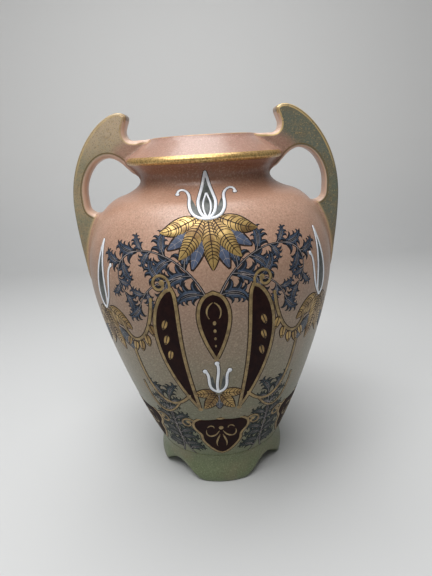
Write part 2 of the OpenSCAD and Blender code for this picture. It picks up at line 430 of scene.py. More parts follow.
def make_handle(name, side):
    """A plate with soft edges that melts into the collar and the shoulder."""
    plate = make_plate(name, side)
    co = vertices_of(plate)
    join_k = np.interp(co[:, 2], FILLET_LEVELS, FILLET_SIZES)
    wall, wall_n = wall_and_slope(co)
    core_slope = core_and_slope(co, side)[1]
    core_n = core_slope / np.maximum(np.linalg.norm(core_slope, axis=1), 1e-6)[:, None]

    # A point just under the wall comes out to form the far half of the fillet
    depth = np.interp(co[:, 2], PLATE_LEVELS, PLATE_DEPTHS)
    reach_in = np.minimum(join_k * SKIRT_SHARE + SKIRT_MORE, depth - SKIRT_SPARE)
    spread = ((join_k + SKIRT_SPREAD) / reach_in)[:, None]
    under = np.clip(-wall, 0, None)
    shown = wall > -reach_in
    skirt = shown & (wall < 0)
    moved = co.copy()
    moved[skirt] += (under[:, None] * (wall_n + spread * core_n))[skirt]

    # Every point that shows is drawn step by step onto the soft union of handle and wall
    for _ in range(6):
        core, core_slope = core_and_slope(moved, side)
        wall_now, slope_now = wall_and_slope(moved)
        near = np.maximum(join_k - np.abs(core - wall_now), 0) / join_k
        value = np.minimum(core, wall_now) - near * near * join_k / 4
        core_share = np.where(core < wall_now, 1 - near / 2, near / 2)[:, None]
        g = core_share * core_slope + (1 - core_share) * slope_now
        step = -(value / np.maximum((g * g).sum(axis=1), 0.05))[:, None] * g
        step *= np.minimum(1, LONGEST_STEP / np.maximum(np.linalg.norm(step, axis=1), 1e-6))[:, None]
        moved[shown] += step[shown]

    # The end of the skirt, the part on the lip and the tail sink into the wall
    core, flat, face = handle_core(moved, side)
    wall_after = wall_and_slope(moved)[0]
    radius = np.hypot(moved[:, 0], moved[:, 1])
    on_lip = smoothstep(56, 54, radius) * (moved[:, 2] > 360)
    tail = smoothstep(236, 205, moved[:, 2]) * np.clip(wall_after + 0.6, 0, None)
    sink = smoothstep(1.25, 0.75, reach_in - under) * 0.3 + on_lip * 0.7 + tail
    moved[shown] -= (wall_n * sink[:, None])[shown]
    set_vertices(plate, moved)

    # Measures for the paint
    near = {run: on_grid(grid, moved[:, 0] * side, moved[:, 2]) for run, grid in RUN_GRIDS.items()}
    for name, values in (
        ("arris", np.clip(flat - face, -20, 20)),
        ("rib", np.clip(core, -5, 12)),
        ("on_wall", np.clip(wall_after, -5, 20)),
        ("near_eye", near["eye"]),
        ("near_notch", np.minimum(near["notch"], near["ledge"])),
        ("near_crest", near["crest"]),
        ("near_strap", near["strap"]),
    ):
        layer = plate.data.attributes.new(name, "FLOAT", "POINT")
        layer.data.foreach_set("value", np.asarray(values, np.float32))
    smooth(plate, 50)
    return plate


handle_right_piece = make_handle("winged_handle_right", 1)
handle_left_piece = make_handle("winged_handle_left", -1)

BASE_VOXEL = 1.0
SOLE_Z = 0.35


def make_base():
    """The footed base: the CAD form with every edge softened as under a glaze, on flat soles."""
    only(frame["nodes"]["foot_base"])
    bpy.ops.object.duplicate()
    base = bpy.context.view_layer.objects.active
    base.name = "footed_base"
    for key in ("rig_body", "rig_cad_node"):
        if key in base:
            del base[key]
    base.parent = None
    open_mesh()
    bpy.ops.mesh.remove_doubles(threshold=WELD)
    bpy.ops.object.mode_set(mode="OBJECT")
    modify(base, "REMESH", mode="VOXEL", voxel_size=BASE_VOXEL * MM)
    modify(base, "SMOOTH", factor=0.5, iterations=6)
    co = vertices_of(base)
    co[:, 2] = np.where(co[:, 2] < SOLE_Z, 0, co[:, 2])
    set_vertices(base, co)
    smooth(base, 50)
    return base


footed_base = make_base()


# Ornament: brush strokes and raised lines laid on the outer form.
# A stroke is a line of points with half widths; across is measured round the vase, up along its profile.
STROKES = {}


def up_at(z):
    """Length along the outer profile at a height."""
    return float(np.interp(z, FORM[:FORM_END, 1], RUN[:FORM_END]))


def stroke(family, points, widths):
    """Keep one brush stroke, with its half width at each point."""
    STROKES.setdefault(family, []).append((np.array(points, float), np.array(widths, float)))


def brush(family, p0, p1, p2, p3, width, steps=8, fullest=0.35, tip=0.04, root=0.3):
    """A curved stroke that swells from its root and thins to its tip."""
    t = np.linspace(0, 1, steps + 1)
    swell = np.where(
        t < fullest,
        root + (1 - root) * np.sin(t / fullest * math.pi / 2),
        tip + (1 - tip) * (1 - np.clip((t - fullest) / (1 - fullest), 0, 1) ** 1.5),
    )
    line = bezier(p0, p1, p2, p3, steps)
    stroke(family, line, width * swell)
    return line


def even_line(family, points, width):
    """A line of one width with round ends."""
    points = np.array(points, float)
    ends = []
    for a, b in ((points[0], points[1]), (points[-1], points[-2])):
        out = (a - b) / np.linalg.norm(a - b)
        ends.append(np.array([a + out * width * share for share in (0.98, 0.8, 0.45)]))
    widths = np.full(len(points) + 6, float(width))
    widths[:3] = width * np.array([0.15, 0.6, 0.9])
    widths[-3:] = widths[2::-1]
    stroke(family, np.vstack([ends[0], points, ends[1][::-1]]), widths)


def bead(at, radius, family="gilt_borders"):
    """A round drop of enamel or gold."""
    u = np.sin(np.linspace(-math.pi / 2, math.pi / 2, 9))
    points = np.array(at, float) + np.column_stack([0 * u, u * radius])
    stroke(family, points, radius * np.sqrt(1.001 - u * u))


def toward(degrees):
    """A unit step in a direction, 0 to the right and 90 up."""
    a = math.radians(degrees)
    return np.array([math.cos(a), math.sin(a)])


def turn_by(v, degrees):
    x, y = toward(degrees)
    return np.array([v[0] * x - v[1] * y, v[0] * y + v[1] * x])


def ways_along(line):
    """Unit steps along a line of points, and to the left of it."""
    ahead = np.gradient(line, axis=0)
    ahead /= np.linalg.norm(ahead, axis=1)[:, None]
    return ahead, np.column_stack([-ahead[:, 1], ahead[:, 0]])


# A hooked tooth and the light on it, each as steps out from a lobe and on along it
TOOTH = ((0.2, 0.5), (0.8, 0.75), (1.05, 0.3))
TOOTH_LIGHT = ((0.2, 0.5), (0.6, 0.65), (0.75, 0.6))


def lobe(root, way, size, curl, width):
    """One plump acanthus lobe: a body that curls over to a point, with hooked teeth on both sides."""
    p1 = root + way * size * 0.38
    p2 = p1 + turn_by(way, curl * 0.4) * size * 0.36
    tip = p2 + turn_by(way, curl * 1.3) * size * 0.3
    line = brush("slate_foliage", root, p1, p2, tip, width, 14, 0.45, 0.05, 0.35)
    widths = STROKES["slate_foliage"][-1][1]
    ahead, beside = ways_along(line)
    outer = -math.copysign(1, curl)
    for side, reach, count in ((outer, 0.36, 4), (-outer, 0.28, 3)):
        for k in range(count):
            share = k / (count - 1)
            at = round(2 + 8 * share)
            a, n = ahead[at], beside[at] * side
            start = line[at] + n * widths[at] * 0.25
            long = size * reach * (1 - 0.4 * share)
            thick = long * 0.25
            hook, light = ([start + (out * n + on * a) * long for out, on in steps]
                           for steps in (TOOTH, TOOTH_LIGHT))
            brush("slate_foliage", start, *hook, thick, 8, 0.35, 0.05, 0.8)
            brush("slate_lights", start, *light, thick * 0.34, 5, 0.5, 0.1, 0.5)
    for offset in (-0.5, 0.5):
        light = line + beside * (widths * offset)[:, None]
        stroke("slate_lights", light[2:13], 0.28 * widths[2:13])
    for offset in (0, 0.3, -0.3):
        vein = line + beside * (widths * offset)[:, None]
        vein = vein[3:9] if offset else vein[:-4]
        stroke("foliage_veins", vein, np.linspace(0.24, 0.1, len(vein)))


FROND_STEPS, FROND_LEAN, FROND_CURL = 60, 52, 1.5


def frond(p0, p1, p2, p3, count, size, stem=1.4, taper=0.25, bare=0):
    """An acanthus spray along a curve: lobes on both sides, the first of them on one side if bare."""
    line = bezier(p0, p1, p2, p3, FROND_STEPS)
    way = ways_along(line)[0]
    for i in range(count):
        share = (i + 0.75) / (count + 0.35)
        full = size * (0.72 + 0.28 * math.sin(math.pi * min(1, share + 0.2)))
        full *= 1 - taper * share * share
        for sign in (1, -1):
            if sign > 0 and i < bare:
                continue
            k = int(min(share + 0.04 * sign, 0.98) * FROND_STEPS)
            spread = sign * (FROND_LEAN - 12 * share)
            lobe(line[k], turn_by(way[k], spread), full, spread * FROND_CURL, full * 0.16)
    lobe(line[-3], way[-3], size * (1 - taper * 0.6), 40 * FROND_CURL, size * 0.14)
    stalk = line[::3]
    stroke("slate_foliage", stalk, np.linspace(stem, stem * 0.6, len(stalk)))
    stroke("foliage_veins", stalk, np.linspace(0.36, 0.16, len(stalk)))


VEINS = {"gilt_leaves": "leaf_veins", "blue_leaves": "foliage_veins"}


def leaf(root, degrees, length, width, bend=0, family="gilt_leaves", pairs=0):
    """A pointed leaf with a dark edge, a midrib and side veins, closely set where no number is given."""
    pairs = pairs or min(11, round(length / 3.8))
    root = np.array(root, float)
    way, side = toward(degrees), toward(degrees + 90)
    line = bezier(root, root + way * length * 0.3 + side * bend * 0.3,
                  root + way * length * 0.7 + side * bend, root + way * length + side * bend * 0.6, 16)
    t = np.linspace(0, 1, 17)
    swell = np.sin(math.pi * t ** 0.8) ** 0.85
    swell[0], swell[-1] = 0.08, 0.03
    stroke("dark_edges", line, width * swell + 1.0)
    stroke(family, line, width * swell)
    stroke(VEINS[family], line[:-1], np.linspace(0.7, 0.3, 16))
    for i in range(pairs):
        k = 1 + round(i * 11 / max(pairs - 1, 1))
        ahead = line[k + 1] - line[k]
        ahead /= np.linalg.norm(ahead)
        reach = width * swell[k + 1] * 0.84
        for sign in (1, -1):
            across = sign * np.array([-ahead[1], ahead[0]])
            end = line[k] + across * reach + ahead * reach * 0.8
            vein = bezier(line[k], line[k] + across * reach * 0.6 + ahead * reach * 0.1,
                          end - ahead * reach * 0.35, end, 6)
            stroke(VEINS[family], vein, np.linspace(0.52, 0.3, 7))


def bordered(points, width):
    """A gilt line with a dark edge on both sides."""
    even_line("dark_edges", points, width + 0.7)
    even_line("gilt_borders", points, width)


def panel(line, widths, border):
    """A dark panel: a wide stroke along a line, with a gilt border round it."""
    stroke("maroon_panels", line, widths)
    side = ways_along(line)[1] * widths[:, None]
    bordered(np.vstack([line + side, (line - side)[::-1], (line + side)[:2]]), border)


def scroll(centre, start, turns, r0, r1, width, eye):
    """A gilt spiral with a bead at its eye."""
    a = np.linspace(0, 1, 26)
    angle = np.radians(start) + a * turns * 2 * math.pi
    r = r0 + (r1 - r0) * a
    points = np.array(centre) + np.column_stack([r * np.cos(angle), r * np.sin(angle)])
    bordered(points, width)
    bead(points[-1], eye)


def white_line(p0, p1, p2, p3, width, steps, end=0.0):
    """A raised white line, with a drop at its end where one is asked for."""
    line = bezier(p0, p1, p2, p3, steps)
    even_line("dark_edges", line, width + 0.55)
    even_line("white_enamel", line, width)
    if end:
        bead(line[-1], end + 0.5, "dark_edges")
        bead(line[-1], end, "white_enamel")


def mirrored(draw):
    """Draw a half motif and its mirror image about the upright line."""
    marks = {family: len(kept) for family, kept in STROKES.items()}
    draw()
    for family, kept in STROKES.items():
        for points, widths in kept[marks.get(family, 0):]:
            kept.append((points * np.array([-1, 1]), widths))


def neck_bud():
    """A white-lined lotus bud that stands on the shoulder, with a fan of gilt bay leaves under it."""
    v = up_at(303)
    t = np.linspace(0, 1, 19)
    petal = 8.2 * np.sin(math.pi * t ** 1.35) ** 0.8
    stroke("slate_fill", np.column_stack([0 * t, v + 60 - 58 * t]), np.maximum(petal, 0.1))
    mirrored(lambda: white_line((0, v + 1), (13.5, v + 8), (6.5, v + 38), (0, v + 62), 1.45, 24))
    mirrored(lambda: white_line((0.5, v + 3), (5.8, v + 11), (2.6, v + 26), (0.4, v + 38), 0.9, 14))

    def side_petal():
        white_line((1.5, v + 1), (24, v + 3), (11, v + 30), (17.5, v + 41), 1.45, 22)
        white_line((17.5, v + 41), (20.5, v + 46.5), (27.5, v + 45.5), (26.8, v + 38), 1.3, 12, 2.2)
        brush("slate_fill", (3, v + 4), (15, v + 5), (12.5, v + 20), (14, v + 30), 3.6, 10)
        leaf((4, v + 1), -52, 42, 8.6, -6)
        leaf((9, v + 2), -14, 36, 7.6, -7)
        leaf((6, v - 6), -33, 37, 6.4, 0, "blue_leaves", 5)
        leaf((3, v - 6), -71, 40, 6.4, 0, "blue_leaves", 5)

    mirrored(side_petal)
    leaf((0, v), -90, 44, 8.4, 3)
    bead((0, v + 0.5), 3.2)


def scrolls():
    """Pairs of slate acanthus scrolls that spring from one stem."""
    v = up_at(262)

    def half():
        frond((3, v - 30), (10, v - 2), (38, v + 24), (70, v + 17), 4, 33, bare=1)
        frond((70, v + 17), (92, v + 12), (98, v - 8), (82, v - 22), 2, 27, 1.2)
        frond((26, v - 4), (40, v - 6), (60, v - 10), (68, v - 32), 2, 28, 1.2)
        brush("slate_foliage", (2.6, v - 52), (1.6, v - 46), (2, v - 40), (3, v - 28), 1.5, 8, 0.8)

    mirrored(half)


def pendants():
    """A short dark lancet between two long hanging drops, with gilt scrolls and swags of husks."""
    top, foot = up_at(244), up_at(178)
    t = np.linspace(0, 1, 29)
    spine = np.column_stack([0 * t, top + (foot - top) * t])
    waist = 13.5 * np.sin(math.pi * t ** 0.62) ** 0.85
    panel(spine, np.maximum(waist, 0.3), 1.8)
    bead((0, foot - 1), 2.4)
    for k in range(4):
        drop = top + (foot - top) * (0.42 + 0.12 * k)
        bead((0, drop), 2.2 - 0.3 * k)
    curl = (0, top - 8), (8, top - 12), (8, top - 22), (1.2, top - 27)
    mirrored(lambda: brush("gilt_borders", *curl, 1.2))

    def half():
        s = np.linspace(0, 1, 33)
        drop_line = bezier((36, up_at(248)), (52, up_at(214)), (40, up_at(166)), (20, up_at(116)), 32)
        panel(drop_line, np.maximum(11.5 * np.sin(math.pi * s ** 0.7) ** 0.85, 0.3), 1.9)
        bead(drop_line[-1] + np.array([-0.6, -2.4]), 2.6)
        for at in (8, 12, 16):
            leaf(drop_line[at], -62 - at, 13, 3.0, pairs=2)
        scroll((46, up_at(252)), 200, -1.15, 9.5, 2.6, 1.4, 2.7)
        swag = bezier((56, up_at(238)), (60, up_at(196)), (84, up_at(176)), (96, up_at(214)), 28)
        bordered(swag, 1.7)
        bordered(bezier((29, up_at(132)), (48, up_at(104)), (74, up_at(124)), (84, up_at(180)), 28), 1.8)
        bordered(bezier((40, up_at(122)), (54, up_at(92)), (72, up_at(104)), (82, up_at(140)), 28), 1.2)
        for k, at in enumerate((6, 10, 14, 18, 22)):
            leaf(swag[at] + np.array([0, -1]), -90 + 10 * (k - 2), 14, 3.4, pairs=2)

    mirrored(half)


def low_spray():
    """A white trefoil with gilt and slate leaves, over the border of the foot."""
    v = up_at(138)
    white_line((0, v), (-3.4, v + 11), (3.4, v + 26), (0, v + 36), 1.45, 18, 2.4)

    def half():
        white_line((0.6, v), (13.5, v + 5), (4.6, v + 20), (11.5, v + 27), 1.45, 18, 2.3)
        brush("slate_fill", (1.6, v + 1.5), (7.6, v + 6), (4.8, v + 15), (5.6, v + 21), 2.6, 8)
        leaf((3, v - 2), -14, 22, 5.8, 4)
        leaf((2, v - 4), -52, 24, 6.2, -3)

    mirrored(half)
    leaf((0, v - 5), -90, 20, 4.8, 0, "blue_leaves", 4)


def foot_border():
    """One repeat of the lambrequin border round the foot of the body."""
    v = up_at(100)
    t = np.linspace(0, 1, 25)
    shape = 29 * np.sin(math.pi * t ** 0.42) ** 0.62 * (1 - 0.16 * np.exp(-((t - 0.45) / 0.12) ** 2))
    panel(np.column_stack([0 * t, v - 62 * t]), np.maximum(shape, 0.3), 1.8)
    bead((0, v - 15), 3.0)

    def half():
        brush("gilt_borders", (2, v - 20), (8, v - 36), (20, v - 30), (14, v - 15), 1.7, 12)
        brush("gilt_borders", (14, v - 15), (11, v - 9), (6, v - 12), (7.5, v - 17), 1.3, 10)
        brush("gilt_borders", (1.4, v - 26), (4, v - 36), (8, v - 42), (3.0, v - 52), 1.4, 10)
        scroll((35, v - 10), 150, -1.1, 8.0, 2.2, 1.2, 2.2)
        frond((46, v - 70), (38, v - 40), (54, v - 10), (52, v + 30), 4, 28, taper=0.1)

    mirrored(half)


def side_bell():
    """A long white-lined bellflower beside the handle, with gilt and slate leaves under it."""
    v = up_at(234)
    t = np.linspace(0, 1, 19)
    stroke("slate_fill", np.column_stack([2 * np.sin(3 * t), v + 46 - 58 * t]),
           np.maximum(6.0 * np.sin(math.pi * t ** 1.5) ** 0.85, 0.1))
    white_line((0, v - 14), (12, v - 8), (7.5, v + 18), (1, v + 52), 1.35, 24)
    white_line((0, v - 14), (-12, v - 9), (-4, v + 18), (1, v + 52), 1.35, 24)
    white_line((-1, v - 13), (-20, v + 2), (-9, v + 22), (-17, v + 30), 1.25, 18, 2.0)
    leaf((2, v - 14), -40, 36, 8.8, -5)
    leaf((1, v - 16), -74, 44, 9.2, -3)
    leaf((-2, v - 16), -108, 44, 9.2, 4)
    leaf((-6, v - 13), -146, 34, 8.4, -4)
    leaf((12, v - 34), -66, 30, 6.4, 4, "blue_leaves", 5)
    leaf((-14, v - 32), -118, 28, 6.4, -4, "blue_leaves", 5)


# The strokes of each motif, drawn about its own upright line
MOTIFS = {}
for name, draw in (
    ("neck_bud", neck_bud), ("scrolls", scrolls), ("pendants", pendants),
    ("low_spray", low_spray), ("foot_border", foot_border), ("side_bell", side_bell),
):
    STROKES.clear()
    draw()
    MOTIFS[name] = dict(STROKES)

# Where each motif stands round the vase: degrees from the front, towards the right handle
PLACES = [
    *((name, turn, 1) for name in ("neck_bud", "scrolls", "pendants", "low_spray") for turn in (0, 180)),
    *(("side_bell", angle, side) for angle, side in ((53, 1), (-53, -1), (127, -1), (-127, 1))),
    *(("foot_border", 60 * k, 1) for k in range(6)),
]

# Of each family: height of a full stroke, roundness of its section, and its lift off the glaze
FAMILIES = {
    "maroon_panels": (0.14, 8, 0.08),
    "slate_foliage": (0.12, 0, 0.0),
    "slate_lights": (0.10, 0, 0.08),
    "slate_fill": (0.16, 2, 0.0),
    "blue_leaves": (0.18, 3, 0.0),
    "dark_edges": (0.14, 2, 0.0),
    "gilt_leaves": (0.22, 3, 0.04),
    "gilt_borders": (0.30, 1, 0.05),
    "leaf_veins": (0.16, 0, 0.29),
    "foliage_veins": (0.12, 0, 0.16),
    "white_enamel": (0.60, 2, 0.0),
}


# Distance between the places while their strokes lie flat, and how soon a section nears its height
FLAT_STEP = 1000.0
SECTION_SOFT = 0.35


def lay_on_form(co, lift, height):
    """Take flat points (across, up, over) of many strokes onto the vessel."""
    across, up, over = co[:, 0], co[:, 1], co[:, 2]
    r, z = (np.interp(up, RUN, FORM[:, axis]) for axis in (0, 1))
    normal_r, normal_z = (np.interp(up, RUN, FORM_N[:, axis]) for axis in (0, 1))
    raised = height * over / (np.abs(over) + SECTION_SOFT) * (1 + SECTION_SOFT) + lift
    return across / r - math.pi / 2, r + raised * normal_r, z + raised * normal_z


def make_family(family):
    """All strokes of one family as flattened tubes, laid on the vessel at each of their places."""
    height, roundness, lift = FAMILIES[family]
    data = bpy.data.curves.new(family, "CURVE")
    data.dimensions = "3D"
    data.twist_mode = "Z_UP"
    data.bevel_depth = MM
    data.bevel_resolution = roundness
    data.use_fill_caps = True
    data.resolution_u = 1
    for index, (name, _, side) in enumerate(PLACES):
        for points, widths in MOTIFS[name].get(family, []):
            flat = np.zeros((len(points), 4))
            flat[:, 0] = (side * points[:, 0] + index * FLAT_STEP) * MM
            flat[:, 1] = points[:, 1] * MM
            flat[:, 3] = 1
            spline = data.splines.new("POLY")
            spline.points.add(len(points) - 1)
            spline.points.foreach_set("co", flat.ravel())
            spline.points.foreach_set("radius", widths)
    only(new_object(family, data))
    bpy.ops.object.convert(target="MESH")
    piece = bpy.context.view_layer.objects.active
    # Strokes of one place lie apart from those of the next, so a point tells its place
    co = vertices_of(piece)
    index = np.round(co[:, 0] / FLAT_STEP).astype(int)
    co[:, 0] -= index * FLAT_STEP
    a, r, z = lay_on_form(co, lift, height)
    a += np.radians([angle for _, angle, _ in PLACES])[index]
    set_vertices(piece, np.column_stack([r * np.cos(a), r * np.sin(a), z]))
    open_mesh()
    bpy.ops.mesh.remove_doubles(threshold=2 * WELD)
    close_mesh()
    smooth(piece, 60)
    return piece


ornament = {family: make_family(family) for family in FAMILIES}
ornament["gilt_band"] = gilt_band
ornament["gilt_lip_and_highlight"] = gilt_lip_and_highlight


# Finishes
class Tree:
    """Short ways to add nodes to a material or a node group."""

    def __init__(self, tree):
        self.tree = tree

    def feed(self, node, inputs):
        """Link each input of a node to the socket given, or set it to the value given."""
        for key, value in inputs.items():
            if isinstance(value, bpy.types.NodeSocket):
                self.tree.links.new(value, node.inputs[key])
            else:
                node.inputs[key].default_value = value

    def add(self, kind, inputs=None, **settings):
        node = self.tree.nodes.new("ShaderNode" + kind)
        for key, value in settings.items():
            setattr(node, key, value)
        self.feed(node, inputs or {})
        return node

    def math(self, operation, a, b=0.0):
        return self.add("Math", {0: a, 1: b}, operation=operation).outputs[0]

    def plus(self, a, b):
        return self.math("ADD", a, b)

    def minus(self, a, b):
        return self.math("SUBTRACT", a, b)

    def times(self, a, b):
        return self.math("MULTIPLY", a, b)

    def larger(self, a, b):
        return self.math("MAXIMUM", a, b)

    def step(self, value, low, high):
        """A soft step from 0 at one value to 1 at another."""
        ends = {0: value, 1: low, 2: high}
        return self.add("MapRange", ends, interpolation_type="SMOOTHSTEP").outputs[0]

    def line_at(self, value, place, half, soft):
        """A painted line where a measure is at a place, with soft sides."""
        return self.step(self.math("ABSOLUTE", self.minus(value, place)), half + soft, half)

    def mix(self, share, a, b):
        return self.add("Mix", {0: share, 6: a, 7: b}, data_type="RGBA").outputs[2]

    def tint(self, base, mask, share, colour):
        """A colour laid over a base, in a share of a mask."""
        return self.mix(self.times(mask, share), base, colour)

    def noise(self, where, scale, detail=3.0, rough=0.55):
        look = {"Vector": where, "Scale": scale, "Detail": detail, "Roughness": rough}
        return self.add("TexNoise", look).outputs[0]

    def bump(self, strength, distance, height):
        look = {"Strength": strength, "Distance": distance, "Height": height}
        return self.add("Bump", look).outputs[0]

    def ramp(self, value, stops):
        node = self.add("ValToRGB", {0: value})
        ramp = node.color_ramp
        for position, _ in stops[1:-1]:
            ramp.elements.new(position)
        for element, (position, colour) in zip(ramp.elements, stops):
            element.position, element.color = position, rgb(*colour)
        return node.outputs[0]


def material(name):
    """A new material, the tree of its nodes and its one shader."""
    made = bpy.data.materials.new(name)
    made.use_nodes = True
    t = Tree(made.node_tree)
    t.tree.nodes.clear()
    out, shader = t.add("OutputMaterial"), t.add("BsdfPrincipled")
    t.feed(out, {0: shader.outputs[0]})
    return made, t, shader


def rgb(red, green, blue):
    """A colour given in the 0 to 255 of a paint chart, made linear."""
    def linear(v):
        v = v / 255
        return v / 12.92 if v <= 0.04045 else ((v + 0.055) / 1.055) ** 2.4
    return (linear(red), linear(green), linear(blue), 1.0)


VASE_HEIGHT = 0.4
GLAZE_BUMP = (0.5, 0.0003)


def vessel_ground():
    """Group: the sprayed ground of the vessel, salmon at the top through taupe to sage at the foot,
    darker and redder in the neck under the collar as pooled glaze with painted shade.
    """
    group = bpy.data.node_groups.new("sprayed ground", "ShaderNodeTree")
    for socket, kind in (("Color", "NodeSocketColor"), ("Bump", "NodeSocketFloat")):
        group.interface.new_socket(socket, in_out="OUTPUT", socket_type=kind)
    out = group.nodes.new("NodeGroupOutput")
    t = Tree(group)
    where = t.add("TexCoord").outputs["Object"]
    height = t.add("SeparateXYZ", {0: where}).outputs[2]
    drift = t.times(t.minus(t.noise(where, 9.0, 2.0), 0.5), 0.05)
    share = t.math("DIVIDE", t.plus(height, drift), VASE_HEIGHT)
    ground = t.ramp(share, [
        (0.02, (101, 114, 77)),
        (0.11, (101, 109, 76)),
        (0.25, (104, 102, 78)),
        (0.42, (127, 117, 95)),
        (0.58, (150, 123, 103)),
        (0.72, (184, 145, 124)),
        (0.77, (188, 149, 129)),
        # From the turn of the shoulder to the collar the ground is laid darker and redder: partly pooled
        # glaze, partly painted shade under the collar
        (0.805, (164, 121, 99)),
        (0.855, (133, 83, 59)),
        (0.885, (165, 124, 108)),
        (1.0, (169, 130, 120)),
    ])
    fine = t.noise(where, 900.0, 2.0, 0.7)
    speck = t.step(t.noise(where, 600.0, 4.0, 0.75), 0.42, 0.70)
    low = t.step(share, 0.58, 0.22)
    ground = t.tint(ground, speck, 0.56, t.mix(low, rgb(114, 90, 64), rgb(70, 76, 46)))
    pale = t.step(t.noise(where, 540.0, 3.0, 0.7), 0.46, 0.76)
    pale_share = t.minus(0.30, t.times(low, 0.12))
    ground = t.tint(ground, pale, pale_share, t.mix(low, rgb(228, 200, 176), rgb(216, 214, 176)))
    cloud = t.step(t.noise(where, 26.0, 4.0, 0.6), 0.42, 0.75)
    ground = t.tint(ground, cloud, 0.22, rgb(150, 116, 96))
    peel = t.plus(t.noise(where, 60.0, 2.0), t.times(t.noise(where, 240.0, 2.0), 0.8))
    t.feed(out, {"Color": ground, "Bump": t.plus(t.times(fine, 0.5), peel)})
    return group


GROUND = vessel_ground()


def glaze(name, roughness, coat, coat_roughness):
    """The ground glaze of the vessel, for the pieces of its wall and the base."""
    made, t, shader = material(name)
    group = t.add("Group", node_tree=GROUND)
    t.feed(shader, {
        "Base Color": group.outputs["Color"],
        "Normal": t.bump(*GLAZE_BUMP, group.outputs["Bump"]),
        "Roughness": roughness, "Coat Weight": coat, "Coat Roughness": coat_roughness,
    })
    return made


def handle_paint():
    """Mottled olive and teal over the ground, with gilt lines along crest, notch and rib."""
    made, t, shader = material("handle glaze")
    group = t.add("Group", node_tree=GROUND)
    where = t.add("TexCoord").outputs["Object"]
    x, _, z = t.add("SeparateXYZ", {0: where}).outputs
    arris, rib, on_wall, eye, notch, crest, strap = (
        t.add("Attribute", attribute_name=measure).outputs["Fac"]
        for measure in ("arris", "rib", "on_wall", "near_eye", "near_notch", "near_crest", "near_strap")
    )
    wobble = t.times(t.minus(t.noise(where, 300.0, 3.0), 0.5), 1.6)
    mottle = t.step(t.noise(where, 42.0, 4.0, 0.65), 0.4, 0.66)
    right = t.mix(mottle, rgb(104, 102, 82), rgb(92, 104, 92))
    left = t.mix(mottle, rgb(156, 142, 114), rgb(132, 132, 108))
    left = t.tint(left, t.step(z, 0.34, 0.395), 0.8, rgb(202, 182, 154))
    to_right = t.step(x, -0.02, 0.02)
    olive = t.mix(to_right, left, right)
    olive = t.tint(olive, t.step(t.noise(where, 120.0, 3.0), 0.5, 0.75), 0.4, rgb(124, 106, 80))
    stipple = t.step(t.noise(where, 640.0, 4.0, 0.75), 0.50, 0.68)
    olive = t.tint(olive, stipple, 0.65, rgb(186, 158, 104))
    pits = t.step(t.noise(where, 720.0, 4.0, 0.75), 0.48, 0.34)
    olive = t.tint(olive, pits, 0.6, rgb(70, 62, 42))
    olive = t.tint(olive, t.step(z, 0.315, 0.22), 0.6, rgb(132, 102, 76))
    # The paint thins out to the pink ground towards the collar
    bare = t.times(t.step(z, 0.325, 0.345), t.step(on_wall, 22.0, 9.0))
    olive = t.tint(olive, bare, 0.8, group.outputs["Color"])
    # The bare bevels round opening and notch are broader on the left handle than on the right one; they
    # are laid in a pink paler than the ground, as painted light on the bare glaze
    bevel = t.plus(arris, t.minus(4.6, t.times(to_right, 2.0)))
    in_eye = t.times(t.step(bevel, 0.4, 1.6), t.step(eye, 8.0, 6.5))
    notch_bevel = t.plus(arris, t.minus(3.4, to_right))
    notch_run = t.step(notch, 6.5, 5.0)
    in_notch = t.times(t.step(notch_bevel, 0.2, 1.4), notch_run)
    # Pale pink on the bevels: bare glaze made paler as painted light
    olive = t.tint(olive, t.larger(in_eye, in_notch), 0.82, rgb(220, 186, 164))
    outer = t.times(t.step(arris, -1.4, 1.2), t.step(t.math("MINIMUM", strap, crest), 3.6, 2.4))
    olive = t.tint(olive, outer, 0.6, rgb(84, 78, 50))
    on_rib = t.step(t.plus(rib, t.times(wobble, 0.3)), 0.9, 0.5)
    colour = t.mix(on_rib, group.outputs["Color"], olive)
    # Along the crest a gilt line, and outside it a paler gilt line on the outer rounding that is partly a
    # painted highlight, with a dark line of painted shade between; one gilt line round the notch and one
    # beside the rib
    unsteady = t.times(wobble, 0.35)
    edge = t.plus(arris, unsteady)
    crest_run = t.times(t.step(crest, 6.0, 4.5), t.step(z, 0.325, 0.36))
    # The outer of the two crest lines lies on the rounding of the edge and is partly a painted highlight
    crest_gilt_and_highlight = t.larger(t.line_at(edge, -2.3, 0.6, 0.5), t.line_at(edge, 0.6, 0.9, 0.5))
    crest_gilt_and_highlight = t.times(crest_gilt_and_highlight, t.times(crest_run, t.plus(0.6, t.times(to_right, 0.4))))
    notch_line = t.times(t.line_at(t.plus(notch_bevel, unsteady), 0.0, 0.8, 0.6), notch_run)
    notch_line = t.times(notch_line, t.plus(0.45, t.times(to_right, 0.5)))
    # The dark line between the crest lines is painted shade
    shaded = t.times(t.line_at(edge, -1.0, 0.25, 0.4), crest_run)
    rib_line = t.times(t.line_at(rib, 0.9, 0.3, 0.45), t.step(z, 0.318, 0.306))
    rib_line = t.times(rib_line, t.step(arris, 1.6, 0.2))
    gilt = t.larger(t.larger(crest_gilt_and_highlight, notch_line), t.times(rib_line, 0.34))
    gilt = t.times(gilt, t.step(t.noise(where, 260.0, 3.0), 0.30, 0.42))
    # The line round the opening is a dark one
    eye_line = t.times(t.line_at(bevel, -0.5, 0.4, 0.5), t.times(t.step(eye, 9.0, 7.0), on_rib))
    colour = t.tint(colour, eye_line, 0.85, rgb(104, 84, 46))
    colour = t.mix(gilt, colour, rgb(206, 178, 124))
    colour = t.tint(colour, shaded, 0.6, rgb(84, 66, 38))
    t.feed(shader, {
        "Base Color": colour,
        "Metallic": t.times(gilt, 0.5),
        "Roughness": t.plus(0.40, t.times(t.noise(where, 90.0), 0.12)),
        "Normal": t.bump(*GLAZE_BUMP, group.outputs["Bump"]),
        "Coat Weight": 0.25, "Coat Roughness": 0.22,
    })
    return made


handle_glaze = handle_paint()
body_glaze = glaze("body glaze", 0.42, 0.25, 0.22)
collar_glaze = glaze("collar glaze", 0.38, 0.45, 0.2)


